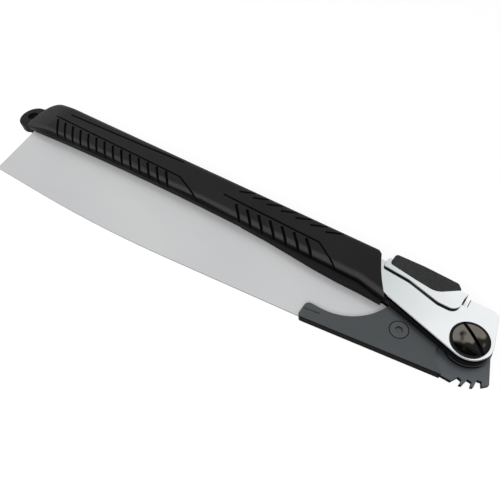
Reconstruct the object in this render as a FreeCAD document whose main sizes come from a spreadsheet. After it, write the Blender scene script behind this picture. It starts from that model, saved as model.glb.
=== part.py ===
import FreeCAD, Part
import os
import re
import Sketcher

# A folding pull saw, folded. The origin is on the pivot axis, on the outer face of the pivot nut.
# +Z runs along the pivot axis, -X runs from the pivot to the tail of the handle, and +Y is the
# side of the latch. Heights are given from the blade's middle plane; every sub-part is placed
# at the height that the nut's face gives that plane. Lengths are in millimetres.

SIZES = {
    # blade
    "blade_length": 300,          # toothed edge
    "blade_thickness": 0.9,
    "blade_tip_width": 55.2,      # from the teeth to the back, at the tip
    "blade_neck_width": 39.4,     # the same, at the holder
    "tip_slant": 10,              # how far the back stops short of the teeth
    "heel_reach": 60,             # from the pivot back to the first tooth
    "teeth_height": 7.5,          # the tooth points lie this far above the pivot axis
    "back_straight": 55,          # straight stretch of the back next to the tip
    "back_curve": 120,            # length of the curve that follows it
    "back_rise": 6.2,             # how much that curve narrows the blade
    "tang_end": 26.5,             # from the pivot back to the tang's hidden end
    "tang_half": 8.5,             # from the clamp screw to the tang's edges
    "tooth_pitch": 2.5,
    "tooth_depth": 1.7,
    "tooth_land": 0.1,
    "tooth_lean": 0.55,           # from a gullet's tail side to its floor
    "tooth_margin": 1,            # plain edge before the first gullet and after the last
    "tang_lead": 11,              # hidden outline from the blade's neck to its tang
    "tang_step": 6,
    "tang_low_round": 3,
    "neck_cover": 3,              # how far the holder covers the blade's neck
    "heel_lead": 9,
    "heel_step": 3,
    "heel_round": 6,
    # lock plate and its notches
    "plate_thickness": 3.0,
    "plate_tail": 24,             # from the pivot back to the plate's hidden end
    "rim_radius": 22.6,
    "rim_start": -94,             # the toothed rim's ends, as angles about the pivot
    "rim_end": -40,
    "rim_hidden_start": 82,       # the plain rim's ends, inside the folded head
    "rim_hidden_end": 160,
    "plate_waist": 14.2,          # the plate's reach between the two rims
    "plate_waist_start": 45,
    "rim_run_in": 15,             # angle from the waist's end to the hidden rim
    "plate_shoulder": 2,
    "plate_inset": 1,
    "notch_half_floor": 1.1,
    "notch_half_mouth": 2.6,
    "notch_height": 7,            # the cutting outline's height
    "notch_floor_gap": 1.0,       # from the engaged tooth's end to the notch's floor
    "open_angle": 183.5,          # blade angle of the middle notch
    "notch_step": 14,             # from one notch to the next
    # holder
    "holder_skin": 1.5,           # cover over each face of the lock plate
    "holder_reach": 84.9,         # from the pivot back to the holder's end
    "holder_tip_height": 10.8,
    "holder_under_slope": 7.5,
    "holder_curve": 34,           # hollow curve of the holder's edge
    "holder_curve_start": 8.9,    # from the holder's end to where the curve begins
    "holder_top": 7.6,            # hidden upper edge, above the pivot axis
    "holder_front": 13.9,         # from the pivot back to the holder's hidden front
    "holder_corner": 4.8,         # the visible front corner, back from and below the pivot
    "holder_front_low": 22.6,
    "holder_step": 11.1,
    "holder_rivet_inset": 4.2,
    "holder_rivet_drop": 2.6,
    "holder_rivet_pitch": 7.4,
    "holder_heel_round": 1.5,
    "holder_tip_round": 3,
    "holder_top_round": 2,
    "holder_top_start": 41.2,     # from the holder's end to its straight upper edge
    "holder_curve_end": 15,       # angle that the hollow curve stops short of upright
    "holder_step_up": 6.2,
    "holder_knee": 1.2,
    "holder_knee_down": 8.7,
    "holder_nose_cut": 3,
    "crimp_up": 5.2,              # crimp line in each face, at the holder's end
    "crimp_length": 10.5,
    "crimp_rise": 1.9,
    "crimp_width": 0.7,
    "crimp_depth": 0.4,
    "clamp_back": 33.2,
    "clamp_down": 11.15,
    "clamp_head_radius": 5.3,
    "clamp_head_height": 1.8,
    "clamp_shank_radius": 2.5,
    "clamp_socket": 4.0,          # across the flats of the hexagon socket
    "clamp_socket_depth": 1.2,
    "clamp_nut_radius": 4.4,
    "clamp_ring_gap": 0.15,
    "clamp_end_gap": 0.4,         # the clamp's shank stops short of the nut's face by this
    "holder_rivet_radius": 1.5,
    # pivot
    "bush_radius": 6.5,
    "shank_radius": 4.0,
    "screw_head_radius": 10.2,
    "screw_rim_height": 0.8,
    "screw_rim_width": 1.0,
    "screw_dome_height": 1.5,
    "coin_slot_width": 1.8,
    "coin_slot_depth": 1.4,
    "coin_slot_angle": -40,
    "coin_slot_offset": 1.8,      # from the pivot axis to the slot's middle
    "coin_slot_reach": 7.65,
    "nut_radius": 9.0,
    "nut_thickness": 2.5,
    "nut_barrel_radius": 5.5,
    "nut_bevel": 0.5,
    "nut_floor": 1.2,             # closed end of the nut under the thread
    "washer_radius": 12.8,
    "washer_play": 0.1,
    "running_clearance": 0.05,
    # head
    "slot_clearance": 0.3,        # from the holder's face to each liner
    "liner_thickness": 3.4,
    "cheek_thickness": 1.8,
    "cheek_edge_round": 0.7,
    "head_radius": 12.2,
    "head_under_slope": 15,       # the lower edge's slope
    "head_nose_slope": 12.1,      # the nose edge's lean from upright
    "head_back": 23.2,            # from the pivot to the head's back edge
    "head_corner_round": 4.0,
    "head_reach": 46.6,           # from the pivot back to the grip's front corner
    "window_side": 8.2,           # from the pivot back to the latch recess
    "window_floor": 17.9,
    "window_width": 3.3,
    "cheek_inset": 1.5,           # the cheek's lower edge above the liner's, at the grip
    "cheek_tail": 66,             # from the pivot back to the cheek's hidden end
    "cheek_tail_drop": 5,
    "cheek_tail_slant": 9.4,
    "cheek_tail_low": 4,
    # latch lever
    "fulcrum_back": 35,
    "fulcrum_up": 17,
    "fulcrum_radius": 2.5,
    "skirt_gap": 0.2,
    "skirt_thickness": 1.5,
    "web_thickness": 1.2,
    "web_top": 24.8,
    "web_lift": 0.8,              # room between the web and the head's back under it
    "lever_length": 47.9,
    "lever_end_gap": 1.7,         # from the recess's side to the lever's end
    "skirt_rear": 7.0,            # the skirt's depth below the web's top, at each end
    "skirt_front": 13.6,
    "skirt_edge_round": 0.5,
    "skirt_end_round": 1.5,
    "skirt_knee": 17,             # from the lever's rear end to the bend in the skirt's edge
    "skirt_knee_drop": 1.5,
    "skirt_knee_round": 20,
    "lobe_lead_round": 8,
    "lobe_back": 1.4,
    "nose_lip": 1.2,
    "nose_lip_drop": 3.5,
    "cover_top_ease": 0.6,
    "lobe_length": 14,
    "lobe_round": 5,
    "nose_length": 7.8,
    "pad_side": 0.6,
    "pad_height": 3.6,
    "pad_rear": 2.8,              # the pad's outline, from the lever's rear end forwards
    "pad_rear_drop": 3.4,
    "pad_rear_round": 1.5,
    "pad_knee": 20,
    "pad_knee_drop": 6.2,
    "pad_knee_round": 30,
    "pad_belly": 17.4,
    "pad_belly_drop": 7.8,
    "pad_belly_round": 10,
    "pad_front": 6.5,
    "pad_front_rise": 0.2,
    "pad_brow": 9,
    "pad_brow_drop": 0.6,
    "pad_end_round": 2,
    "pad_crown": 29,
    "pad_crown_rise": 0.4,
    "pad_crown_round": 60,
    "pad_heel": 3.2,
    "latch_angle": 118,           # direction from the pivot to the engaged tooth
    "latch_drop": 7.5,            # lever angle from rest to the engaged tooth
    "latch_bite": 2.3,            # how deep the engaged tooth reaches into the rim
    "latch_half_tip": 0.8,
    "latch_half_root": 1.5,
    "latch_root_up": 4.224,       # the engaged tooth's root, above the fulcrum
    "latch_root_side": 1.33,      # the same root, back from the latch recess's side
    "bar_side_gap": 0.3,          # from the lock bar's face to each liner
    "bar_tail": 5,                # the lock bar's outline, from its tail forwards
    "bar_tail_up": 2.6,
    "bar_boss_lead": 7,
    "bar_boss": 4,
    "bar_boss_down": 3.8,
    "bar_boss_round": 3.5,
    "bar_front": 8,
    "bar_front_down": 0.2,
    "bar_neck": 5,
    "bar_neck_up": 3.3,
    "bar_root": 3.35,
    "bar_nose": 1.55,
    "bar_nose_gap": 0.3,
    "lever_rivet_radius": 1.3,
    "lever_rivet_side": 9,
    "lever_rivet_up": 2.8,
    "spring_back": 49,
    "spring_radius": 2.1,
    "spring_wire": 0.8,
    "spring_turns": 5,
    "spring_seat_gap": 0.05,
    # handle
    "tail_margin": 2.0,           # from the blade's tip to the end of the core's slot
    "core_end_wall": 2.0,
    "core_end_round": 8,
    "core_half": 6.7,
    "core_top": 22,
    "core_inset": 0.6,            # the core stops short of the grip's lower edge by this
    "core_slot_half": 1.6,
    "core_slot_top": 11,
    "tongue_length": 44,
    "tongue_floor": 10,
    "tongue_lap": 4,              # how far the tongue reaches past the cheek's end
    "core_rivet_radius": 2.2,
    "core_rivet_inset": 10,
    "core_rivet_pitch": 22,
    "spacer_length": 16,
    "spacer_height": 4.4,
    "spacer_rivet_radius": 1.2,
    "spacer_rivet_side": 4,
    "grip_half": 11,
    "grip_back": 28.3,
    "grip_round": 5,
    "grip_low": 1.7,              # the straight lower edge, above the pivot axis
    "grip_straight": 92,          # length of that edge
    "belly_depth": 6.5,           # how much lower the grip reaches at the tail
    "belly_length": 194,
    "grip_lip": 4.1,              # how much lower it reaches at the head
    "grip_front_curve": 106,
    "grip_front_lean": 15.3,      # how far the front edge leans towards the tail
    "grip_front_corner": 4.3,
    "grip_end_wall": 2.5,
    "grip_end_round": 14,
    "grip_heel_round": 6,
    "cap_half": 3.2,
    "cap_root": 18,
    "cap_wall": 1.5,              # core between the blade's slot and the cap's tongue
    "cap_cover": 2,               # core over the tongue
    "cap_pin_radius": 1.5,
    "lug_radius": 11.5,
    "lug_reach": 2.5,             # from the grip's end to the lug's centre
    "lug_up": 6.0,
    "hang_hole_radius": 4.2,
    "hang_hole_lift": 1,
    "hang_hole_offset": 2.0,      # from the lug's centre towards its end
}

doc = FreeCAD.newDocument("pull_saw")
sheet = doc.addObject("Spreadsheet::Sheet", "Sizes")
for row, (alias, value) in enumerate(SIZES.items(), start=1):
    sheet.set("A%d" % row, alias.replace("_", " "))
    sheet.set("B%d" % row, str(value))
    sheet.setAlias("B%d" % row, alias)
doc.recompute()

# Heights above the blade's middle plane, each made from the layer under it.
BLADE_FACE = "(blade_thickness / 2)"
PLATE_FACE = "(plate_thickness / 2)"
HOLDER_FACE = "(%s + holder_skin)" % PLATE_FACE
SLOT_FACE = "(%s + slot_clearance)" % HOLDER_FACE
LINER_FACE = "(%s + liner_thickness)" % SLOT_FACE
CHEEK_FACE = "(%s + cheek_thickness)" % LINER_FACE
SKIRT_INNER = "(%s + skirt_gap)" % CHEEK_FACE
SKIRT_FACE = "(%s + skirt_thickness)" % SKIRT_INNER
PAD_FACE = "(%s + pad_side)" % SKIRT_FACE
MIDDLE_HEIGHT = "(%s + nut_thickness)" % CHEEK_FACE

# Places along the handle.
BLADE_TIP = "(-heel_reach - blade_length)"
SLOT_END = "(%s - tail_margin)" % BLADE_TIP
CORE_END = "(%s - core_end_wall)" % SLOT_END
GRIP_END = "(%s - grip_end_wall)" % CORE_END
TONGUE_ROOT = "(-cheek_tail - tongue_length)"
LUG_CENTRE = "(%s - lug_reach)" % GRIP_END

subparts = []


def expression(text):
    """Point each size's name at the sheet: blade_length becomes Sizes.blade_length."""
    return re.sub(r"[a-z]+(_[a-z]+)+", lambda name: "Sizes." + name.group(), str(text))


def bind(thing, prop, text):
    thing.setExpression(prop, expression(text))


def number(text):
    value = sheet.evalExpression(expression(text).replace("Sizes.", ""))
    return float(getattr(value, "Value", value))


def place(thing, label):
    """Name a sub-part and stand it at the height of the blade's middle plane."""
    thing.Label = label
    bind(thing, "Placement.Base.z", MIDDLE_HEIGHT)
    subparts.append(thing)
    return thing


def new_body(label):
    return place(doc.addObject("PartDesign::Body", label), label)


def new_sketch(body, name, height="0", plane="XY_Plane"):
    sketch = body.newObject("Sketcher::SketchObject", name)
    planes = [feature for feature in body.Origin.OriginFeatures if feature.Role == plane]
    sketch.AttachmentSupport = [(planes[0], "")]
    sketch.MapMode = "FlatFace"
    bind(sketch, "AttachmentOffset.Base.z", height)
    return sketch


def fix(sketch, kind, text, *where):
    """Add one dimension to a sketch and bind it to the sheet."""
    index = sketch.addConstraint(Sketcher.Constraint(kind, *where, number(text)))
    bind(sketch, "Constraints[%d]" % index, text)


def arc_between(start, end, radius):
    """The shorter arc from start to end: anticlockwise for a positive radius."""
    chord = end - start
    middle = (start + end) * 0.5
    rise = (radius ** 2 - chord.Length ** 2 / 4) ** 0.5
    side = FreeCAD.Vector(-chord.y, chord.x, 0).normalize()
    centre = middle + side * (rise if radius > 0 else -rise)
    ends = (start, end) if radius > 0 else (end, start)
    angles = [FreeCAD.Vector(1, 0, 0).getAngle(end_point - centre) for end_point in ends]
    angles = [-angle if end_point.y < centre.y else angle for angle, end_point in zip(angles, ends)]
    circle = Part.Circle(centre, FreeCAD.Vector(0, 0, 1), abs(radius))
    return Part.ArcOfCircle(circle, angles[0], angles[1])


def outline(body, name, corners, height="0", plane="XY_Plane"):
    """Sketch a closed outline.

    A corner is (x, y), or (x, y, rounding) for a rounded one, or (x, y, None, radius) where an arc
    of that radius runs to the next corner: anticlockwise if it is positive.
    """
    sketch = new_sketch(body, name, height, plane)
    corners = [tuple(corner) + (None,) * (4 - len(corner)) for corner in corners]
    count = len(corners)
    points = [FreeCAD.Vector(number(corner[0]), number(corner[1]), 0) for corner in corners]
    starts, ends, turns = list(points), list(points), {}
    for i, corner in enumerate(corners):
        if corner[2] is None:
            continue
        back = (points[i - 1] - points[i]).normalize()
        ahead = (points[(i + 1) % count] - points[i]).normalize()
        radius = number(corner[2])
        half_turn = (back * -1).getAngle(ahead) / 2
        reach = radius * (1 - ahead.dot(back * -1)) / (back * -1).cross(ahead).Length
        ends[i] = points[i] + back * reach
        starts[i] = points[i] + ahead * reach
        turns[i] = 1 if (back * -1).cross(ahead).z > 0 else -1
    runs = []
    for i, corner in enumerate(corners):
        start, end = starts[i], ends[(i + 1) % count]
        if corner[3] is None:
            index = sketch.addGeometry(Part.LineSegment(start, end))
            runs.append((index, 1, 2))
        else:
            radius = number(corner[3])
            index = sketch.addGeometry(arc_between(start, end, radius))
            runs.append((index, 1, 2) if radius > 0 else (index, 2, 1))
            fix(sketch, "Radius", "abs(%s)" % corner[3], index)
    for i, corner in enumerate(corners):
        before, after = runs[i - 1], runs[i]
        if i not in turns:
            joined = Sketcher.Constraint("Coincident", before[0], before[2], after[0], after[1])
            sketch.addConstraint(joined)
            fix(sketch, "DistanceX", corner[0], -1, 1, after[0], after[1])
            fix(sketch, "DistanceY", corner[1], -1, 1, after[0], after[1])
            continue
        radius = number(corner[2]) * turns[i]
        bend = sketch.addGeometry(arc_between(ends[i], starts[i], radius))
        bend_start, bend_end = (1, 2) if radius > 0 else (2, 1)
        peg = sketch.addGeometry(Part.Point(points[i]), True)
        fix(sketch, "DistanceX", corner[0], -1, 1, peg, 1)
        fix(sketch, "DistanceY", corner[1], -1, 1, peg, 1)
        sketch.addConstraint(Sketcher.Constraint("PointOnObject", peg, 1, before[0]))
        sketch.addConstraint(Sketcher.Constraint("PointOnObject", peg, 1, after[0]))
        sketch.addConstraint(Sketcher.Constraint("Tangent", before[0], before[2], bend, bend_start))
        sketch.addConstraint(Sketcher.Constraint("Tangent", bend, bend_end, after[0], after[1]))
        fix(sketch, "Radius", corner[2], bend)
    return sketch


def disc(body, name, x, y, radius, height="0", plane="XY_Plane"):
    """Sketch one circle."""
    sketch = new_sketch(body, name, height, plane)
    centre = FreeCAD.Vector(number(x), number(y), 0)
    index = sketch.addGeometry(Part.Circle(centre, FreeCAD.Vector(0, 0, 1), number(radius)))
    fix(sketch, "DistanceX", x, -1, 1, index, 3)
    fix(sketch, "DistanceY", y, -1, 1, index, 3)
    fix(sketch, "Radius", radius, index)
    return sketch


def pad(body, sketch, length, middle=False):
    """Thicken a sketch upwards, or to both sides of its plane."""
    feature = body.newObject("PartDesign::Pad", sketch.Name + "_pad")
    feature.Profile = sketch
    feature.Midplane = middle
    bind(feature, "Length", length)
    doc.recompute()
    return feature


def pocket(body, sketch, depth=None):
    """Cut a sketch downwards to a depth, or through all on both sides; it has to remove material."""
    volume = body.Shape.Volume
    feature = body.newObject("PartDesign::Pocket", sketch.Name + "_cut")
    feature.Profile = sketch
    if depth is None:
        feature.Type = "ThroughAll"
        feature.Midplane = True
    else:
        bind(feature, "Length", depth)
    doc.recompute()
    if not body.Shape.Volume < volume - 1e-6:
        raise ValueError("%s removes nothing from %s" % (feature.Name, body.Label))
    return feature


def soften(body, radius, chosen):
    """Round the edges that the test chooses."""
    base = body.Tip
    names = ["Edge%d" % (i + 1) for i, edge in enumerate(base.Shape.Edges) if chosen(edge)]
    feature = body.newObject("PartDesign::Fillet", body.Name + "_round")
    feature.Base = (base, names)
    bind(feature, "Radius", radius)
    doc.recompute()
    return feature


def flat_at(height):
    """Test for the edges that lie in the plane at a height above the middle plane."""
    level = number(height)

    def lies_there(edge):
        box = edge.BoundBox
        return abs(box.ZMin - level) < 1e-4 and abs(box.ZMax - level) < 1e-4
    return lies_there


def turned(body, name, corners):
    """Turn a profile of (radius, height) corners about the pivot axis."""
    sketch = outline(body, name, corners, plane="XZ_Plane")
    feature = body.newObject("PartDesign::Revolution", name + "_turned")
    feature.Profile = sketch
    feature.ReferenceAxis = (sketch, ["V_Axis"])
    feature.Angle = 360
    doc.recompute()
    return feature


def layer(label, corners, low, high):
    """A flat sub-part between two heights."""
    body = new_body(label)
    pad(body, outline(body, label + "_outline", corners, low), "%s - %s" % (high, low))
    return body


def both_sides(low, high):
    """The upper and the lower copy of a layer, as (suffix, low, high)."""
    return (("upper", low, high), ("lower", "(-%s)" % high, "(-%s)" % low))


def pin_group(label, pins):
    """Identical pins in one sub-part: each pin is (x, y, radius, half length)."""
    group = doc.addObject("Part::Compound", label)
    cylinders = []
    for i, (x, y, radius, half) in enumerate(pins):
        pin = doc.addObject("Part::Cylinder", "%s_%d" % (label, i + 1))
        bind(pin, "Radius", radius)
        bind(pin, "Height", "2 * %s" % half)
        bind(pin, "Placement.Base.x", x)
        bind(pin, "Placement.Base.y", y)
        bind(pin, "Placement.Base.z", "-%s" % half)
        cylinders.append(pin)
    group.Links = cylinders
    return place(group, label)


# ---------------------------------------------------------------- shared outlines
# The nose is rounded about the pivot: its corner is where the tangents of the two edges meet.
NOSE_HALF = "((90 + head_under_slope + head_nose_slope) / 2)"
NOSE_ANGLE = "(head_nose_slope - %s)" % NOSE_HALF
NOSE_REACH = "(head_radius / cos(%s))" % NOSE_HALF
HEAD_UNDER = "(head_reach * tan(head_under_slope) - head_radius / cos(head_under_slope))"
HEAD_LEDGE = "(web_top - web_thickness - web_lift)"
HEAD_RIGHT = [
    ("-head_reach", HEAD_UNDER),
    ("%s * cos(%s)" % (NOSE_REACH, NOSE_ANGLE), "%s * sin(%s)" % (NOSE_REACH, NOSE_ANGLE), "head_radius"),
    (
        "head_radius / cos(head_nose_slope) - head_back * tan(head_nose_slope)",
        "head_back",
        "head_corner_round",
    ),
    ("-window_side", "head_back"),
    ("-window_side", "window_floor"),
    ("-window_side - window_width", "window_floor"),
    ("-fulcrum_back", HEAD_LEDGE),
]
CHEEK_END = [
    ("-cheek_tail", HEAD_LEDGE),
    ("-cheek_tail", "fulcrum_up - cheek_tail_drop"),
    ("-head_reach - cheek_tail_slant", "cheek_tail_low"),
]
LINER_END = [
    ("-cheek_tail + tongue_lap", HEAD_LEDGE),
    ("-cheek_tail + tongue_lap", "core_top"),
    (TONGUE_ROOT, "core_top"),
    (TONGUE_ROOT, "tongue_floor"),
    ("-cheek_tail", "tongue_floor"),
    ("-cheek_tail", "grip_low + core_inset"),
]
CORE_RIVETS = [
    ("(-cheek_tail - core_rivet_inset)", "((core_slot_top + core_top) / 2)"),
    ("(-cheek_tail - core_rivet_inset - core_rivet_pitch)", "((core_slot_top + core_top) / 2)"),
]
SPACER_RIVET = ("(-spring_back - spacer_rivet_side)", "(tongue_floor + spacer_height / 2)")
CAP_FLOOR = "(core_slot_top + cap_wall)"
CAP_CEILING = "(core_top - cap_cover)"
CAP_PIN = ("(%s + cap_root / 2)" % CORE_END, "((%s + %s) / 2)" % (CAP_FLOOR, CAP_CEILING))
CAP_TONGUE = [
    (LUG_CENTRE, CAP_FLOOR),
    (CORE_END + " + cap_root", CAP_FLOOR),
    (CORE_END + " + cap_root", CAP_CEILING),
    (CORE_END, CAP_CEILING),
    (LUG_CENTRE, "lug_up + lug_radius"),
]
HANG_UP = "(lug_up + hang_hole_lift)"
BELLY_START = "(-cheek_tail - grip_straight - belly_length)"
BELLY_RADIUS = "((pow(belly_length; 2) + pow(belly_depth; 2)) / (2 * belly_depth))"
BELOW = "(grip_low - belly_depth - grip_round)"


def underside(inset):
    """Lower edge of the handle behind the head, from the belly's end to the straight stretch."""
    return [
        (BELLY_START, "grip_low - belly_depth + %s" % inset, None, "-" + BELLY_RADIUS),
        ("-cheek_tail - grip_straight", "grip_low + %s" % inset),
    ]


def region(left, right, bottom, top):
    """A rectangle's corners."""
    return [(left, bottom), (right, bottom), (right, top), (left, top)]


# ---------------------------------------------------------------- handle
def make_core():
    """Black core of the handle: a bar with the blade's slot and a tongue between the liners."""
    body = new_body("handle_core")
    corners = [(CORE_END, "grip_low - belly_depth + core_inset")] + underside("core_inset") + [
        ("-cheek_tail", "grip_low + core_inset"),
        ("-cheek_tail", "tongue_floor"),
        (TONGUE_ROOT, "tongue_floor"),
        (TONGUE_ROOT, "core_top"),
        (CORE_END, "core_top", "core_end_round"),
    ]
    pad(body, outline(body, "core_outline", corners, "-core_half"), "2 * core_half")
    tongue = region(TONGUE_ROOT + " - 1", "-cheek_tail + tongue_lap", "tongue_floor", "core_top")
    pad(body, outline(body, "core_tongue", tongue, "-" + SLOT_FACE), "2 * " + SLOT_FACE)
    slot = region(SLOT_END, "0", BELOW, "core_slot_top")
    pocket(body, outline(body, "core_slot", slot, "core_slot_half"), "2 * core_slot_half")
    socket = region(CORE_END + " - 1", CORE_END + " + cap_root", CAP_FLOOR, CAP_CEILING)
    pocket(body, outline(body, "cap_socket", socket, "cap_half"), "2 * cap_half")
    pocket(body, disc(body, "cap_pin_hole", CAP_PIN[0], CAP_PIN[1], "cap_pin_radius"))
    for i, (x, y) in enumerate(CORE_RIVETS):
        pocket(body, disc(body, "core_rivet_hole_%d" % (i + 1), x, y, "core_rivet_radius"))


def make_grip():
    """Rubber grip round the core, open below for the blade and hollowed for the cheeks' ends."""
    body = new_body("grip")
    corners = [(GRIP_END, "grip_low - belly_depth", "grip_heel_round")] + underside("0") + [
        ("-cheek_tail", "grip_low"),
        ("-head_reach", "grip_low - grip_lip", None, "-grip_front_curve"),
        ("-head_reach - grip_front_lean", "grip_back - grip_front_corner"),
        ("-head_reach - grip_front_lean - grip_front_corner", "grip_back"),
        (GRIP_END, "grip_back", "grip_end_round"),
    ]
    pad(body, outline(body, "grip_outline", corners, "-grip_half"), "2 * grip_half")
    front = number("-head_reach - grip_front_lean - grip_front_corner")
    top, bottom = flat_at("grip_half"), flat_at("-grip_half")

    def along_the_grip(edge):
        middle = edge.valueAt((edge.FirstParameter + edge.LastParameter) / 2)
        behind = edge.BoundBox.XMax < front + 1e-4 or middle.y < number("grip_low")
        return (top(edge) or bottom(edge)) and behind
    soften(body, "grip_round", along_the_grip)
    hollow = [
        (CORE_END, BELOW),
        ("0", BELOW),
        ("0", "core_top"),
        (CORE_END, "core_top", "core_end_round"),
    ]
    pocket(body, outline(body, "core_hollow", hollow, "core_half"), "2 * core_half")
    cheeks = CHEEK_END + [("-head_reach", HEAD_UNDER), ("0", BELOW), ("0", HEAD_LEDGE)]
    pocket(body, outline(body, "cheek_hollow", cheeks, CHEEK_FACE), "2 * " + CHEEK_FACE)
    lug = disc(body, "lug_hollow", LUG_CENTRE, "lug_up", "lug_radius", "cap_half")
    pocket(body, lug, "2 * cap_half")
    pocket(body, outline(body, "cap_hollow", CAP_TONGUE, "cap_half"), "2 * cap_half")


def make_end_cap():
    """Thin end piece with the hang hole, its tongue let into the core."""
    body = new_body("end_cap")
    pad(body, disc(body, "lug", LUG_CENTRE, "lug_up", "lug_radius", "-cap_half"), "2 * cap_half")
    reach = "2 * lug_radius"
    front = region(CORE_END, "%s + %s" % (LUG_CENTRE, reach), "lug_up - " + reach, "lug_up + " + reach)
    pocket(body, outline(body, "lug_front", front))
    pad(body, outline(body, "cap_tongue", CAP_TONGUE, "-cap_half"), "2 * cap_half")
    pocket(body, disc(body, "hang_hole", LUG_CENTRE + " - hang_hole_offset", HANG_UP, "hang_hole_radius"))
    pocket(body, disc(body, "cap_pin_bore", CAP_PIN[0], CAP_PIN[1], "cap_pin_radius"))


def head_holes(body, side):
    """Holes for the pivot screw, or its nut's barrel, and for the lever's fulcrum pin."""
    bore = "shank_radius" if side == "upper" else "nut_barrel_radius"
    pocket(body, disc(body, body.Label + "_pivot_hole", "0", "0", bore + " + running_clearance"))
    pocket(body, disc(body, body.Label + "_fulcrum_hole", "-fulcrum_back", "fulcrum_up", "fulcrum_radius"))


def make_liner(side, low, high):
    """Black side plate of the head, with a tang riveted to the core's tongue."""
    body = layer("liner_" + side, HEAD_RIGHT + LINER_END, low, high)
    head_holes(body, side)
    for i, (x, y) in enumerate(CORE_RIVETS):
        pocket(body, disc(body, "%s_rivet_hole_%d" % (body.Label, i + 1), x, y, "core_rivet_radius"))
    x, y = SPACER_RIVET
    pocket(body, disc(body, body.Label + "_spacer_hole", x, y, "spacer_rivet_radius"))


def make_cheek(side, low, high):
    """Chrome cover plate outside a liner. The liner shows below it as a dark band."""
    under = [("-head_reach", HEAD_UNDER + " + cheek_inset")]
    body = layer("cheek_" + side, under + HEAD_RIGHT[1:] + CHEEK_END, low, high)
    soften(body, "cheek_edge_round", flat_at(high if side == "upper" else low))
    head_holes(body, side)


def make_spacer():
    """Block that holds the liners apart and carries the spring."""
    left = "(-spring_back - spacer_length / 2)"
    corners = region(left, left + " + spacer_length", "tongue_floor", "tongue_floor + spacer_height")
    body = layer("head_spacer", corners, "(-%s)" % SLOT_FACE, SLOT_FACE)
    pocket(body, disc(body, "spacer_hole", SPACER_RIVET[0], SPACER_RIVET[1], "spacer_rivet_radius"))


# ---------------------------------------------------------------- pivot
def coin_slot_sketch(screw):
    """Coin slot across the crown, beside the pivot axis and turned about it."""
    crown = "(%s + screw_rim_height + screw_dome_height)" % CHEEK_FACE
    low = "coin_slot_offset - coin_slot_width / 2"
    high = "coin_slot_offset + coin_slot_width / 2"
    slot = outline(screw, "coin_slot", region("-coin_slot_reach", "coin_slot_reach", low, high), crown)
    bind(slot, "AttachmentOffset.Rotation.Angle", "coin_slot_angle")
    return slot


def make_pivot():
    """Screw, closed nut and bush, all turned about the pivot axis."""
    screw = new_body("pivot_screw")
    rim = "(%s + screw_rim_height)" % CHEEK_FACE
    crown = "(%s + screw_dome_height)" % rim
    end = "(-%s - nut_thickness + nut_floor)" % CHEEK_FACE
    dome_edge = "(screw_head_radius - screw_rim_width)"
    dome = "((pow(%s; 2) + pow(screw_dome_height; 2)) / (2 * screw_dome_height))" % dome_edge
    turned(screw, "screw_profile", [
        ("0", end),
        ("shank_radius", end),
        ("shank_radius", CHEEK_FACE),
        ("screw_head_radius", CHEEK_FACE),
        ("screw_head_radius", rim),
        (dome_edge, rim, None, dome),
        ("0", crown),
    ])
    pocket(screw, coin_slot_sketch(screw), "coin_slot_depth")
    nut = new_body("pivot_nut")
    face = "(-%s - nut_thickness)" % CHEEK_FACE
    turned(nut, "nut_profile", [
        ("0", face),
        ("nut_radius - nut_bevel", face),
        ("nut_radius", face + " + nut_bevel"),
        ("nut_radius", "-" + CHEEK_FACE),
        ("nut_barrel_radius", "-" + CHEEK_FACE),
        ("nut_barrel_radius", "-" + SLOT_FACE),
        ("shank_radius", "-" + SLOT_FACE),
        ("shank_radius", end),
        ("0", end),
    ])
    bush = new_body("pivot_bush")
    turned(bush, "bush_profile", [
        ("shank_radius + running_clearance", "-" + SLOT_FACE),
        ("bush_radius", "-" + SLOT_FACE),
        ("bush_radius", SLOT_FACE),
        ("shank_radius + running_clearance", SLOT_FACE),
    ])


# ---------------------------------------------------------------- blade unit
CLAMP_BORE = "clamp_shank_radius + running_clearance"
HOLDER_LEFT_LOW = "(-holder_front_low - (holder_reach - holder_corner) * tan(holder_under_slope))"
HOLDER_CURVE_LOW = "(%s + holder_tip_height)" % HOLDER_LEFT_LOW
HOLDER_CURVE_TOP_X = "(-holder_reach + holder_curve_start + holder_curve * cos(holder_curve_end))"
HOLDER_CURVE_TOP_Y = "(%s + holder_curve - holder_curve * sin(holder_curve_end))" % HOLDER_CURVE_LOW
HOLDER_RIVETS = [
    ("(-holder_front - holder_rivet_inset)", "(holder_top - holder_rivet_drop)"),
    ("(-holder_front - holder_rivet_inset)", "(holder_top - holder_rivet_drop - holder_rivet_pitch)"),
]

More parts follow.
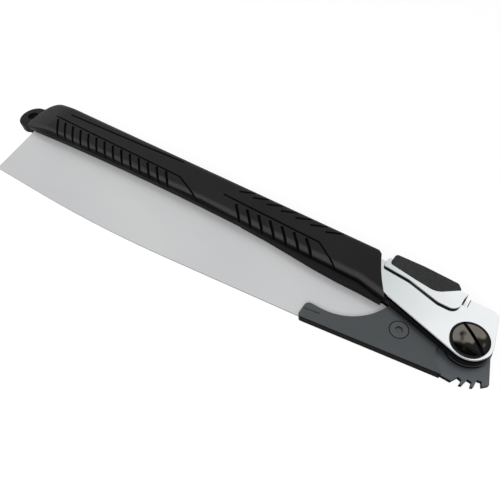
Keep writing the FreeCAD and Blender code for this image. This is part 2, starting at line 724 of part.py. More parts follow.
def make_blade():
    """Blade with a straight toothed edge, a curved back and a clamped tang."""
    body = new_body("blade")
    back = "(teeth_height - blade_tip_width)"
    neck = ("-holder_reach + neck_cover", "teeth_height - blade_neck_width")
    curve = "((pow(back_curve; 2) + pow(back_rise; 2)) / (2 * back_rise))"
    corners = [
        (BLADE_TIP, "teeth_height"),
        (BLADE_TIP + " + tip_slant", back),
        (BLADE_TIP + " + tip_slant + back_straight", back, None, curve),
        (BLADE_TIP + " + tip_slant + back_straight + back_curve", back + " + back_rise"),
        neck,
        ("-holder_reach + tang_lead", "-clamp_down - tang_half - tang_step", "tang_low_round"),
        ("-tang_end", "-clamp_down - tang_half"),
        ("-tang_end", "-clamp_down + tang_half"),
        ("-heel_reach + heel_lead", "-clamp_down + tang_half + heel_step", "heel_round"),
        ("-heel_reach", "teeth_height"),
    ]
    pad(body, outline(body, "blade_outline", corners, "-" + BLADE_FACE), "blade_thickness")
    start = "(%s + tooth_margin)" % BLADE_TIP
    gullet = outline(body, "gullet", [
        (start, "teeth_height + tooth_pitch"),
        (start, "teeth_height"),
        (start + " + tooth_lean", "teeth_height - tooth_depth"),
        (start + " + tooth_pitch - tooth_land", "teeth_height"),
        (start + " + tooth_pitch - tooth_land", "teeth_height + tooth_pitch"),
    ])
    cut = pocket(body, gullet)
    pattern = body.newObject("PartDesign::LinearPattern", "teeth")
    pattern.Originals = [cut]
    pattern.Direction = (gullet, ["H_Axis"])
    pattern.Mode = "Spacing"
    bind(pattern, "Offset", "tooth_pitch")
    bind(pattern, "Occurrences", "floor((blade_length - 2 * tooth_margin) / tooth_pitch)")
    body.Tip = pattern
    doc.recompute()
    pocket(body, disc(body, "tang_hole", "-clamp_back", "-clamp_down", CLAMP_BORE))


def make_lock_plate():
    """Steel plate that turns on the bush, with three working notches and one for the folded blade."""
    def on_rim(angle):
        return ("rim_radius * cos(%s)" % angle, "rim_radius * sin(%s)" % angle)

    waist_end = "(rim_hidden_start - rim_run_in)"
    corners = [
        ("-plate_tail", "rim_radius * sin(rim_start)"),
        on_rim("rim_start") + (None, "rim_radius"),
        on_rim("rim_end"),
        ("head_radius", "plate_shoulder"),
        ("plate_waist * cos(plate_waist_start)", "plate_waist * sin(plate_waist_start)"),
        ("plate_waist * cos(%s)" % waist_end, "plate_waist * sin(%s)" % waist_end),
        on_rim("rim_hidden_start") + (None, "rim_radius"),
        on_rim("rim_hidden_end"),
        ("-plate_tail", "holder_top - plate_inset"),
    ]
    body = layer("lock_plate", corners, "(-%s)" % PLATE_FACE, PLATE_FACE)
    pocket(body, disc(body, "pivot_bore", "0", "0", "bush_radius + running_clearance"))
    for i, (x, y) in enumerate(HOLDER_RIVETS):
        pocket(body, disc(body, "plate_rivet_hole_%d" % (i + 1), x, y, "holder_rivet_radius"))
    # Each notch is drawn where the latch's tooth meets it and turned back to the folded blade.
    floor = "((rim_radius - latch_bite) * sin(latch_angle) - notch_floor_gap)"
    mouth = "(%s + notch_height)" % floor
    middle = "((rim_radius - latch_bite) * cos(latch_angle))"
    for i, angle in enumerate(["0", "open_angle - notch_step", "open_angle", "open_angle + notch_step"]):
        notch = outline(body, "notch_%d" % i, [
            (middle + " - notch_half_floor", floor),
            (middle + " + notch_half_floor", floor),
            (middle + " + notch_half_mouth", mouth),
            (middle + " - notch_half_mouth", mouth),
        ])
        bind(notch, "AttachmentOffset.Rotation.Angle", "-(%s)" % angle)
        pocket(body, notch)


def make_holder(side, low, high):
    """Cast half of the holder: it grips the blade's tang and covers the lock plate's tail."""
    corners = [
        ("-holder_reach", HOLDER_LEFT_LOW, "holder_heel_round"),
        ("-holder_corner", "-holder_front_low"),
        ("-holder_step", "-holder_front_low + holder_step_up"),
        ("-holder_front + holder_knee", "-holder_knee_down"),
        ("-holder_front", "0"),
        ("-holder_front - holder_nose_cut", "holder_top"),
        ("-holder_reach + holder_top_start", "holder_top", "holder_top_round"),
        (HOLDER_CURVE_TOP_X, HOLDER_CURVE_TOP_Y, None, "-holder_curve"),
        ("-holder_reach + holder_curve_start", HOLDER_CURVE_LOW),
        ("-holder_reach", HOLDER_CURVE_LOW, "holder_tip_round"),
    ]
    body = layer("holder_" + side, corners, low, high)
    inner = "(%s)" % BLADE_FACE
    upper = side == "upper"
    seat = region("-plate_tail", "0", "rim_radius * sin(rim_start)", "holder_top + plate_inset")
    pocket(body, outline(body, body.Label + "_plate_seat", seat, PLATE_FACE if upper else "-" + inner),
           "%s - %s" % (PLATE_FACE, inner))
    crimp = "(%s + crimp_up)" % HOLDER_LEFT_LOW
    line = outline(body, body.Label + "_crimp", [
        ("-holder_reach - 1", crimp),
        ("-holder_reach + crimp_length", crimp + " + crimp_rise"),
        ("-holder_reach + crimp_length", crimp + " + crimp_rise + crimp_width"),
        ("-holder_reach - 1", crimp + " + crimp_width"),
    ], HOLDER_FACE if upper else "(-%s + crimp_depth)" % HOLDER_FACE)
    pocket(body, line, "crimp_depth")
    sink = "clamp_head_radius + clamp_ring_gap" if upper else "clamp_nut_radius + running_clearance"
    level = HOLDER_FACE if upper else "(-%s + clamp_head_height)" % HOLDER_FACE
    seat = disc(body, body.Label + "_clamp_sink", "-clamp_back", "-clamp_down", sink, level)
    pocket(body, seat, "clamp_head_height")
    pocket(body, disc(body, body.Label + "_clamp_hole", "-clamp_back", "-clamp_down", CLAMP_BORE))
    for i, (x, y) in enumerate(HOLDER_RIVETS):
        pocket(body, disc(body, "%s_rivet_hole_%d" % (body.Label, i + 1), x, y, "holder_rivet_radius"))


def make_washer(side, low, high):
    """Plain washer between the lock plate and a liner."""
    body = new_body("washer_" + side)
    pad(body, disc(body, body.Label + "_disc", "0", "0", "washer_radius", low), "%s - %s" % (high, low))
    pocket(body, disc(body, body.Label + "_bore", "0", "0", "bush_radius + running_clearance"))


def make_clamp():
    """Flush screw with a hexagon socket, and its round nut in the other holder half."""
    head = "(%s - clamp_head_height)" % HOLDER_FACE
    screw = new_body("clamp_screw")
    turned(screw, "clamp_profile", [
        ("0", "-%s + clamp_end_gap" % HOLDER_FACE),
        ("clamp_shank_radius", "-%s + clamp_end_gap" % HOLDER_FACE),
        ("clamp_shank_radius", head),
        ("clamp_head_radius", head),
        ("clamp_head_radius", HOLDER_FACE),
        ("0", HOLDER_FACE),
    ])
    reach = "(clamp_socket / 2 / cos(30))"
    hexagon = [("%s * cos(%d)" % (reach, 60 * i), "%s * sin(%d)" % (reach, 60 * i)) for i in range(6)]
    pocket(screw, outline(screw, "clamp_socket_hexagon", hexagon, HOLDER_FACE), "clamp_socket_depth")
    nut = new_body("clamp_nut")
    turned(nut, "clamp_nut_profile", [
        ("clamp_shank_radius", "-" + HOLDER_FACE),
        ("clamp_nut_radius", "-" + HOLDER_FACE),
        ("clamp_nut_radius", "-" + head),
        ("clamp_shank_radius", "-" + head),
    ])
    for part in (screw, nut):
        bind(part, "Placement.Base.x", "-clamp_back")
        bind(part, "Placement.Base.y", "-clamp_down")


# ---------------------------------------------------------------- latch lever
COVER_END = "(-window_side - lever_end_gap - lever_length)"
COVER_NOSE = "(-window_side - lever_end_gap)"
BAR_FACE = "(%s - bar_side_gap)" % SLOT_FACE
LEVER_RIVETS = ["(-fulcrum_back - lever_rivet_side)", "(-fulcrum_back + lever_rivet_side)"]


def make_cover():
    """Bright channel-shaped lever: a web across the head's back and a skirt down each cheek."""
    body = new_body("lever_cover")
    corners = [
        (COVER_END, "web_top - skirt_rear", "skirt_end_round"),
        (COVER_END + " + skirt_knee", "web_top - skirt_rear - skirt_knee_drop", "skirt_knee_round"),
        ("-window_side - lobe_length", "web_top - skirt_front", "lobe_lead_round"),
        (COVER_NOSE + " - lobe_back", "web_top - skirt_front", "lobe_round"),
        (COVER_NOSE + " - nose_lip", "web_top - nose_lip_drop"),
        (COVER_NOSE, "web_top", "cover_top_ease"),
        (COVER_END + " + cover_top_ease", "web_top", "skirt_end_round"),
    ]
    pad(body, outline(body, "cover_outline", corners, "-" + SKIRT_FACE), "2 * " + SKIRT_FACE)
    upper_rim = flat_at(SKIRT_FACE)
    lower_rim = flat_at("-" + SKIRT_FACE)
    soften(body, "skirt_edge_round", lambda edge: upper_rim(edge) or lower_rim(edge))
    hollow = region(COVER_END + " - 5", "0", "0", "web_top - web_thickness")
    pocket(body, outline(body, "cover_hollow", hollow, SKIRT_INNER), "2 * " + SKIRT_INNER)
    nose = region("-window_side - nose_length", "0", "0", "web_top + 1")
    pocket(body, outline(body, "nose_window", nose, BAR_FACE), "2 * " + BAR_FACE)
    lever_rivet_holes(body)


def lever_rivet_holes(body):
    """Holes along Y for the rivets that hold the web to the lock bar."""
    for i, x in enumerate(LEVER_RIVETS):
        name = "%s_hole_%d" % (body.Label, i + 1)
        hole = disc(body, name, x, "0", "lever_rivet_radius", plane="XZ_Plane")
        pocket(body, hole)


def make_pad():
    """Rubber thumb pad over the web and the upper part of each skirt."""
    body = new_body("lever_pad")
    top = "(web_top + pad_height)"
    corners = [
        (COVER_END + " + pad_rear", "web_top - pad_rear_drop", "pad_rear_round"),
        (COVER_END + " + pad_knee", "web_top - pad_knee_drop", "pad_knee_round"),
        ("-window_side - pad_belly", "web_top - pad_belly_drop", "pad_belly_round"),
        ("-window_side - pad_front", "web_top + pad_front_rise"),
        ("-window_side - pad_brow", top + " - pad_brow_drop", "pad_end_round"),
        ("-window_side - pad_crown", top + " + pad_crown_rise", "pad_crown_round"),
        (COVER_END + " + pad_heel", top, "pad_end_round"),
    ]
    pad(body, outline(body, "pad_outline", corners, "-" + PAD_FACE), "2 * " + PAD_FACE)
    seat = region(COVER_END + " - 5", "0", "0", "web_top")
    pocket(body, outline(body, "pad_seat", seat, SKIRT_FACE), "2 * " + SKIRT_FACE)


def make_lock_bar():
    """Steel bar under the web: it rocks on the fulcrum pin and its tooth drops into a notch."""
    ceiling = "(web_top - web_thickness)"
    root_x = "(-window_side - bar_root)"
    corners = [
        ("-spring_back - bar_tail", "fulcrum_up + bar_tail_up"),
        ("-fulcrum_back - bar_boss_lead", "fulcrum_up + bar_tail_up"),
        ("-fulcrum_back - bar_boss", "fulcrum_up - bar_boss_down", "bar_boss_round"),
        ("-fulcrum_back + bar_boss", "fulcrum_up - bar_boss_down", "bar_boss_round"),
        ("-fulcrum_back + bar_front", "fulcrum_up - bar_front_down"),
        (root_x + " - bar_neck", "fulcrum_up + bar_neck_up"),
        (root_x, "web_top - bar_nose"),
        (COVER_NOSE + " - bar_nose_gap", "web_top - bar_nose"),
        (COVER_NOSE + " - bar_nose_gap", "web_top"),
        ("-window_side - nose_length", "web_top"),
        ("-window_side - nose_length", ceiling),
        ("-spring_back - bar_tail", ceiling),
    ]
    body = layer("lock_bar", corners, "(-%s)" % BAR_FACE, BAR_FACE)
    # The tooth is drawn where it meets a notch, then turned about the fulcrum to the lever's rest.
    tip_x = "((rim_radius - latch_bite) * cos(latch_angle))"
    tip_y = "((rim_radius - latch_bite) * sin(latch_angle))"
    tooth = outline(body, "tooth", [
        (tip_x + " - latch_half_tip", tip_y),
        (tip_x + " + latch_half_tip", tip_y),
        ("-window_side - latch_root_side + latch_half_root", "fulcrum_up + latch_root_up"),
        ("-window_side - latch_root_side - latch_half_root", "fulcrum_up + latch_root_up"),
    ], "-" + BAR_FACE)
    bind(tooth, "AttachmentOffset.Rotation.Angle", "latch_drop")
    bind(tooth, "AttachmentOffset.Base.x",
         "-fulcrum_back + fulcrum_back * cos(latch_drop) + fulcrum_up * sin(latch_drop)")
    bind(tooth, "AttachmentOffset.Base.y",
         "fulcrum_up + fulcrum_back * sin(latch_drop) - fulcrum_up * cos(latch_drop)")
    pad(body, tooth, "2 * " + BAR_FACE)
    bore = disc(body, "fulcrum_bore", "-fulcrum_back", "fulcrum_up", "fulcrum_radius + running_clearance")
    pocket(body, bore)
    lever_rivet_holes(body)


def make_lever_rivets():
    """Two rivets along Y through the web and the lock bar."""
    group = doc.addObject("Part::Compound", "lever_rivets")
    rivets = []
    for i, x in enumerate(LEVER_RIVETS):
        rivet = doc.addObject("Part::Cylinder", "lever_rivet_%d" % (i + 1))
        bind(rivet, "Radius", "lever_rivet_radius")
        bind(rivet, "Height", "web_top - fulcrum_up - lever_rivet_up")
        rivet.Placement.Rotation = FreeCAD.Rotation(FreeCAD.Vector(1, 0, 0), -90)
        bind(rivet, "Placement.Base.x", x)
        bind(rivet, "Placement.Base.y", "fulcrum_up + lever_rivet_up")
        rivets.append(rivet)
    group.Links = rivets
    place(group, "lever_rivets")


def make_spring():
    """Coil spring between the spacer and the lock bar's tail."""
    body = new_body("lever_spring")
    half = "spring_wire / 2"
    wire = disc(body, "spring_wire_section", "spring_radius", half, half, plane="XZ_Plane")
    coil = body.newObject("PartDesign::AdditiveHelix", "spring_coil")
    coil.Profile = wire
    coil.ReferenceAxis = (wire, ["V_Axis"])
    coil.Mode = "height-turns-angle"
    room = "(fulcrum_up + bar_tail_up - tongue_floor - spacer_height)"
    bind(coil, "Height", room + " - spring_wire - 2 * spring_seat_gap")
    bind(coil, "Turns", "spring_turns")
    doc.recompute()
    body.Placement.Rotation = FreeCAD.Rotation(FreeCAD.Vector(1, 0, 0), -90)
    bind(body, "Placement.Base.x", "-spring_back")
    bind(body, "Placement.Base.y", "tongue_floor + spacer_height + spring_seat_gap")


# ---------------------------------------------------------------- the assembly
make_core()
make_grip()
make_end_cap()
make_spacer()
for arguments in both_sides(SLOT_FACE, LINER_FACE):
    make_liner(*arguments)
for arguments in both_sides(LINER_FACE, CHEEK_FACE):
    make_cheek(*arguments)
make_pivot()
make_blade()
make_lock_plate()
for arguments in both_sides(BLADE_FACE, HOLDER_FACE):
    make_holder(*arguments)
for arguments in both_sides(PLATE_FACE, "(%s - washer_play)" % SLOT_FACE):
    make_washer(*arguments)
make_clamp()
make_cover()
make_pad()
make_lock_bar()
make_lever_rivets()
make_spring()
pin_group("core_rivets", [(x, y, "core_rivet_radius", LINER_FACE) for x, y in CORE_RIVETS])
pin_group("spacer_rivet", [SPACER_RIVET + ("spacer_rivet_radius", LINER_FACE)])
pin_group("end_cap_pin", [CAP_PIN + ("cap_pin_radius", "core_half")])
pin_group("fulcrum_pin", [("-fulcrum_back", "fulcrum_up", "fulcrum_radius", CHEEK_FACE)])
pin_group("holder_rivets", [(x, y, "holder_rivet_radius", HOLDER_FACE) for x, y in HOLDER_RIVETS])
doc.recompute()

for thing in doc.Objects:
    if "Invalid" in thing.State or "Error" in thing.State:
        raise ValueError("%s did not build: %s" % (thing.Name, thing.State))
os.makedirs("parts", exist_ok=True)
for part in subparts:
    shape = part.Shape
    if shape.isNull() or not shape.isValid():
        raise ValueError("%s has no valid shape" % part.Label)
    shape.exportStep("parts/%s.step" % part.Label)
    box = shape.BoundBox
    print("%-14s %2d solids  x %7.1f %7.1f  y %6.1f %6.1f  z %5.1f %5.1f" % (
        part.Label, len(shape.Solids), box.XMin, box.XMax, box.YMin, box.YMax, box.ZMin, box.ZMax))
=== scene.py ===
# %% [markdown]
# # Dressing a folding pull saw
# The saw lies folded on a pale table. Its exact parts come from the CAD model and are loaded as a
# fixed frame. This lesson sets up a camera, a table and soft lamps, gives every part a finish made
# from nodes, and then models the rubber grip with its ribs and grooves and the nylon core with the
# lips of its slot.

# %% Load the frame
import math

import bpy
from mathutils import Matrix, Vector


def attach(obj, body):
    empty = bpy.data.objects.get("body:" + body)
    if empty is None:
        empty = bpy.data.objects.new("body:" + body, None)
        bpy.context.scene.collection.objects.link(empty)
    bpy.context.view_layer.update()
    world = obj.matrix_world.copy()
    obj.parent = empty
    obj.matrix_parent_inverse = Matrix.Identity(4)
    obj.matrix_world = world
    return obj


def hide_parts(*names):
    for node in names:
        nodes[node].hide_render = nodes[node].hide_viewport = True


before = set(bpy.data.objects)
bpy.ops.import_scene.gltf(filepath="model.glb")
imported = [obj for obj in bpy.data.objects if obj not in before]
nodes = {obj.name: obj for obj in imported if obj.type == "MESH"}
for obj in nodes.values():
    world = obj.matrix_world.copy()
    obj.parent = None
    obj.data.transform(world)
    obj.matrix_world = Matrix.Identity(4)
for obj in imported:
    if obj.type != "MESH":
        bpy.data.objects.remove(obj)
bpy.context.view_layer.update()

MM = 0.001

# %% [markdown]
# ## Camera
# The saw is seen from above its blade side, with the tail at the upper left and the head at the
# lower right. A long lens from far away would show head and tail at one scale. A fairly wide lens
# close to the saw gives the strong perspective of a hand-held product shot instead, in which the
# head looks clearly larger than the tail.

# %% Place the camera
CAMERA_PLACE = (-0.01394, -0.14031, 0.25996)
CAMERA_TURN = (35.3994, 5.373, 35.2187)
camera_data = bpy.data.cameras.new("camera")
camera_data.lens = 34.56
camera_data.sensor_width = 36
camera = bpy.data.objects.new("camera", camera_data)
bpy.context.collection.objects.link(camera)
camera.location = CAMERA_PLACE
camera.rotation_euler = [math.radians(angle) for angle in CAMERA_TURN]
bpy.context.scene.camera = camera
bpy.context.scene.view_settings.view_transform = "Standard"
print("camera at", tuple(round(c, 3) for c in camera.location))

# %% [markdown]
# ## Table, lamps and surroundings
# The table is a large plane just under the saw. Seen directly it should be white but still carry a
# soft shadow. A brighter lamp would whiten it, but would bleach the saw as well, so the table's
# shader adds a glow that only camera, mirror and glass rays can see. Lamps and world light the saw
# at a plain level. Mirror-like steel shows its surroundings more than its own
# colour, so for mirror rays the world is a light tent: a bright wall behind the saw, a softer one in
# front, and a dark gap overhead between them that gives domes and edges their contrast.

# %% Helpers for building node trees
def add_node(tree, kind, **values):
    """A new shader node. Names of inputs are written with _ for each blank."""
    node = tree.nodes.new(kind)
    for name, value in values.items():
        socket = node.inputs.get(name.replace("_", " "))
        if socket is None:
            setattr(node, name, value)
        else:
            socket.default_value = value
    return node


def seen_directly(tree):
    """1 for rays from the camera, from a mirror or through glass, and 0 for diffuse light."""
    path = add_node(tree, "ShaderNodeLightPath")
    total = path.outputs["Is Camera Ray"]
    for other in ("Is Glossy Ray", "Is Transmission Ray"):
        either = add_node(tree, "ShaderNodeMath", operation="MAXIMUM")
        tree.links.new(total, either.inputs[0])
        tree.links.new(path.outputs[other], either.inputs[1])
        total = either.outputs[0]
    return total


# %% Table
SAW_MIDDLE = (-0.17, 0, 0.01)
TABLE_SIZE = 6
TABLE_HEIGHT = -0.3 * MM
TABLE_GREY = 0.2
TABLE_GLOW = 0.86
bpy.ops.mesh.primitive_plane_add(size=TABLE_SIZE, location=(SAW_MIDDLE[0], 0, TABLE_HEIGHT))
table = bpy.context.object
table.name = "table"
bpy.ops.object.transform_apply(location=True)
table_finish = bpy.data.materials.new("table_white")
table_finish.use_nodes = True
tree = table_finish.node_tree
tree.nodes.clear()
matt = add_node(tree, "ShaderNodeBsdfDiffuse", Color=(TABLE_GREY, TABLE_GREY, TABLE_GREY, 1))
glow = add_node(tree, "ShaderNodeEmission", Color=(1, 1, 1, 1))
glow_level = add_node(tree, "ShaderNodeMath", operation="MULTIPLY")
glow_level.inputs[1].default_value = TABLE_GLOW
both = add_node(tree, "ShaderNodeAddShader")
surface = add_node(tree, "ShaderNodeOutputMaterial")
tree.links.new(seen_directly(tree), glow_level.inputs[0])
tree.links.new(glow_level.outputs[0], glow.inputs["Strength"])
tree.links.new(matt.outputs[0], both.inputs[0])
tree.links.new(glow.outputs[0], both.inputs[1])
tree.links.new(both.outputs[0], surface.inputs["Surface"])
table.data.materials.append(table_finish)
print("table at height", table.data.vertices[0].co.z)

# %% World
# Each wall of the tent is a position from front (0) to back (1) and its brightness.
TENT_WALLS = [(0.0, 0.50), (0.30, 0.45), (0.40, 0.12), (0.53, 0.12), (0.61, 0.93), (1.0, 0.95)]
AMBIENT_LEVEL = 0.32
world = bpy.data.worlds.new("light_tent")
bpy.context.scene.world = world
world.use_nodes = True
tree = world.node_tree
tree.nodes.clear()
direction = add_node(tree, "ShaderNodeTexCoord")
split = add_node(tree, "ShaderNodeSeparateXYZ")
side = add_node(tree, "ShaderNodeMapRange", From_Min=-1.0, From_Max=1.0)
tent = add_node(tree, "ShaderNodeValToRGB")
for inner_wall in TENT_WALLS[1:-1]:
    tent.color_ramp.elements.new(inner_wall[0])
for stop, (position, level) in zip(tent.color_ramp.elements, TENT_WALLS):
    stop.position = position
    stop.color = (level, level, level, 1)
tree.links.new(direction.outputs["Generated"], split.inputs[0])
tree.links.new(split.outputs["Y"], side.inputs["Value"])
tree.links.new(side.outputs["Result"], tent.inputs["Fac"])
reflected = add_node(tree, "ShaderNodeBackground", Strength=1.0)
tree.links.new(tent.outputs["Color"], reflected.inputs["Color"])
ambient = add_node(tree, "ShaderNodeBackground", Color=(1, 1, 1, 1), Strength=AMBIENT_LEVEL)
plain_white = add_node(tree, "ShaderNodeBackground", Color=(1, 1, 1, 1), Strength=1.0)
path = add_node(tree, "ShaderNodeLightPath")
mirror_or_not = add_node(tree, "ShaderNodeMixShader")
camera_or_not = add_node(tree, "ShaderNodeMixShader")
sky = add_node(tree, "ShaderNodeOutputWorld")
tree.links.new(path.outputs["Is Glossy Ray"], mirror_or_not.inputs[0])
tree.links.new(ambient.outputs[0], mirror_or_not.inputs[1])
tree.links.new(reflected.outputs[0], mirror_or_not.inputs[2])
tree.links.new(path.outputs["Is Camera Ray"], camera_or_not.inputs[0])
tree.links.new(mirror_or_not.outputs[0], camera_or_not.inputs[1])
tree.links.new(plain_white.outputs[0], camera_or_not.inputs[2])
tree.links.new(camera_or_not.outputs[0], sky.inputs["Surface"])
print("tent walls", len(TENT_WALLS), "ambient", AMBIENT_LEVEL)

# %% [markdown]
# The key lamp hangs in front of the blade side. Mirror rays do not see it, so it leaves no square
# spot on the chrome. A weaker fill lamp stands beyond the tail, and the gloss may show it.

# %% Lamps
def soft_lamp(name, place, target, size, power, in_mirrors):
    """A square area lamp that looks at a point on the saw. in_mirrors lets gloss show it."""
    data = bpy.data.lights.new(name, "AREA")
    data.size = size
    data.energy = power
    lamp = bpy.data.objects.new(name, data)
    lamp.location = place
    lamp.visible_glossy = in_mirrors
    lamp.rotation_euler = (Vector(target) - Vector(place)).to_track_quat("-Z", "Y").to_euler()
    bpy.context.collection.objects.link(lamp)
    return lamp


soft_lamp("key_lamp", (0.15, -0.75, 0.95), SAW_MIDDLE, 0.9, 10.0, False)
soft_lamp("fill_lamp", (-0.9, -0.5, 0.9), SAW_MIDDLE, 0.8, 3.0, True)

# %% [markdown]
# ## Effects that several finishes share
# Real surfaces are never quite even. Three effects cover this saw: drawn grain on rolled steel,
# fine speckle on moulded and coated parts, and the broad haze that hands leave. They could be drawn
# as images, but noise needs no file and stays sharp at any distance. Each is a node group that puts
# out plain values, so every material can mix them in with its own strength.

# %% Build a node group
def new_group(name, sockets):
    """An empty group with float inputs and a float output called Value."""
    group = bpy.data.node_groups.new(name, "ShaderNodeTree")
    for socket_name, default in sockets:
        socket = group.interface.new_socket(socket_name, in_out="INPUT", socket_type="NodeSocketFloat")
        socket.default_value = default
    group.interface.new_socket("Value", in_out="OUTPUT", socket_type="NodeSocketFloat")
    return group, group.nodes.new("NodeGroupInput"), group.nodes.new("NodeGroupOutput")


# %% Noise that can be stretched along the saw
def noise_group(name, along, across, detail):
    """Noise in Object coordinates: along and across are its scales on X and on Y and Z."""
    group, inputs, outputs = new_group(name, [("Along", along), ("Across", across), ("Detail", detail)])
    place = add_node(group, "ShaderNodeTexCoord")
    scales = add_node(group, "ShaderNodeCombineXYZ")
    stretch = add_node(group, "ShaderNodeVectorMath", operation="MULTIPLY")
    noise = add_node(group, "ShaderNodeTexNoise", Scale=1.0, Roughness=0.6)
    group.links.new(inputs.outputs["Along"], scales.inputs["X"])
    group.links.new(inputs.outputs["Across"], scales.inputs["Y"])
    group.links.new(inputs.outputs["Across"], scales.inputs["Z"])
    group.links.new(place.outputs["Object"], stretch.inputs[0])
    group.links.new(scales.outputs[0], stretch.inputs[1])
    group.links.new(stretch.outputs[0], noise.inputs["Vector"])
    group.links.new(inputs.outputs["Detail"], noise.inputs["Detail"])
    group.links.new(noise.outputs["Fac"], outputs.inputs["Value"])
    return group


GRAIN = noise_group("drawn_grain", 60, 2500, 4)
SPECKLE = noise_group("fine_speckle", 1800, 1800, 2)
HAZE = noise_group("hand_haze", 22, 22, 3)
print("groups", [g.name for g in bpy.data.node_groups])

# %% [markdown]
# ## One recipe for all finishes
# Every finish is a Principled shader. Its colour drifts between two close tones, its roughness
# between two values, and a slight bump breaks up the light. What sets satin steel, grey paint,
# chrome and rubber apart is the numbers and which effect drives which socket. Marks lay further
# tones over the first two, each through a mask: a value from 0 to 1 that the surface's place or
# direction sets.

# %% Drifting values
# Noise seldom leaves this range, so it is what gets spread out.
NOISE_MIDDLE = (0.35, 0.65)


def drift(tree, effect, low, high, settings):
    """Spreads an effect's middle range over low to high, for a socket of the shader."""
    group = add_node(tree, "ShaderNodeGroup", node_tree=effect)
    for name, value in settings.items():
        group.inputs[name].default_value = value
    spread = add_node(
        tree, "ShaderNodeMapRange", From_Min=NOISE_MIDDLE[0], From_Max=NOISE_MIDDLE[1],
        To_Min=low, To_Max=high)
    tree.links.new(group.outputs["Value"], spread.inputs["Value"])
    return spread.outputs["Result"]


# %% [markdown]
# A mask could be painted by hand, but here its borders are exact: upright walls that carry painted
# shade, a ring round a screw, a slot. The two masks that several finishes use are node groups, built
# once. Each material places the group with its own values.

# %% Mask groups
# A surface counts as level at the first of these sizes of its normal's Z, as upright at the second.
LEVEL_NORMAL = 0.75
UPRIGHT_NORMAL = 0.55
# It counts as facing the back at the first of these values of its normal's Y, not at the second.
BACK_LIMITS = (0.75, 0.60)


def painted_wall_shade_group():
    """A mask for painted shade: 1 where the surface stands upright, unless it faces the saw's back."""
    sockets = [("Level", LEVEL_NORMAL), ("Upright", UPRIGHT_NORMAL)]
    group, inputs, outputs = new_group("painted_wall_shade", sockets)
    place = add_node(group, "ShaderNodeTexCoord")
    split = add_node(group, "ShaderNodeSeparateXYZ")
    steepness = add_node(group, "ShaderNodeMath", operation="ABSOLUTE")
    upright = add_node(group, "ShaderNodeMapRange")
    backward = add_node(
        group, "ShaderNodeMapRange", From_Min=BACK_LIMITS[0], From_Max=BACK_LIMITS[1])
    both = add_node(group, "ShaderNodeMath", operation="MULTIPLY")
    group.links.new(place.outputs["Normal"], split.inputs[0])
    group.links.new(split.outputs["Z"], steepness.inputs[0])
    group.links.new(steepness.outputs[0], upright.inputs["Value"])
    group.links.new(inputs.outputs["Level"], upright.inputs["From Min"])
    group.links.new(inputs.outputs["Upright"], upright.inputs["From Max"])
    group.links.new(split.outputs["Y"], backward.inputs["Value"])
    group.links.new(upright.outputs["Result"], both.inputs[0])
    group.links.new(backward.outputs["Result"], both.inputs[1])
    group.links.new(both.outputs[0], outputs.inputs["Value"])
    return group


def ring_group():
    """A mask that grows from 0 at Start to 1 at Full, both distances from an axis along Z."""
    sockets = [("Centre X", 0), ("Centre Y", 0), ("Start", 0), ("Full", 1)]
    group, inputs, outputs = new_group("outside_ring", sockets)
    place = add_node(group, "ShaderNodeTexCoord")
    centre = add_node(group, "ShaderNodeCombineXYZ")
    offset = add_node(group, "ShaderNodeVectorMath", operation="SUBTRACT")
    flat = add_node(group, "ShaderNodeVectorMath", operation="MULTIPLY")
    flat.inputs[1].default_value = (1, 1, 0)
    distance = add_node(group, "ShaderNodeVectorMath", operation="LENGTH")
    growth = add_node(group, "ShaderNodeMapRange")
    group.links.new(inputs.outputs["Centre X"], centre.inputs["X"])
    group.links.new(inputs.outputs["Centre Y"], centre.inputs["Y"])
    group.links.new(place.outputs["Object"], offset.inputs[0])
    group.links.new(centre.outputs[0], offset.inputs[1])
    group.links.new(offset.outputs[0], flat.inputs[0])
    group.links.new(flat.outputs[0], distance.inputs[0])
    group.links.new(distance.outputs["Value"], growth.inputs["Value"])
    group.links.new(inputs.outputs["Start"], growth.inputs["From Min"])
    group.links.new(inputs.outputs["Full"], growth.inputs["From Max"])
    group.links.new(growth.outputs["Result"], outputs.inputs["Value"])
    return group


PAINTED_WALL_SHADE = painted_wall_shade_group()
RING = ring_group()
print("mask groups", PAINTED_WALL_SHADE.name, RING.name)

# %% Masks that place a group
# A mask is a function that adds its nodes to a material's tree and returns the socket it ends in.
# Half the width of a ring's soft border, in millimetres.
RING_BLUR = 0.08


def painted_wall_shade(tree):
    """Painted shade on the upright walls of a piece, except those that face the back."""
    return add_node(tree, "ShaderNodeGroup", node_tree=PAINTED_WALL_SHADE).outputs["Value"]


def outside_radius(centre, radius):
    """A mask that is 1 further than radius from an axis along Z, in millimetres."""
    def mask(tree):
        ring = add_node(tree, "ShaderNodeGroup", node_tree=RING)
        ring.inputs["Centre X"].default_value = centre[0] * MM
        ring.inputs["Centre Y"].default_value = centre[1] * MM
        ring.inputs["Start"].default_value = (radius - RING_BLUR) * MM
        ring.inputs["Full"].default_value = (radius + RING_BLUR) * MM
        return ring.outputs["Value"]
    return mask


# %% Masks that only one finish uses
# Half the width of a line's soft border, in millimetres.
LINE_BLUR = 0.05
# How far the noise moves the border of the painted dark half, its scales, and where the painted dark half
# starts and is full.
DARK_HALF_REACH = 0.6
DARK_HALF_NOISE = {"Along": 170, "Across": 170, "Detail": 0.5}
DARK_HALF_BORDER = (0.22, -0.18)


def facing_front(start, full):
    """A mask that is 0 where the normal's Y is start, and 1 where it is full."""
    def mask(tree):
        place = add_node(tree, "ShaderNodeTexCoord")
        split = add_node(tree, "ShaderNodeSeparateXYZ")
        turn = add_node(tree, "ShaderNodeMapRange", From_Min=start, From_Max=full)
        tree.links.new(place.outputs["Normal"], split.inputs[0])
        tree.links.new(split.outputs["Y"], turn.inputs["Value"])
        return turn.outputs["Result"]
    return mask


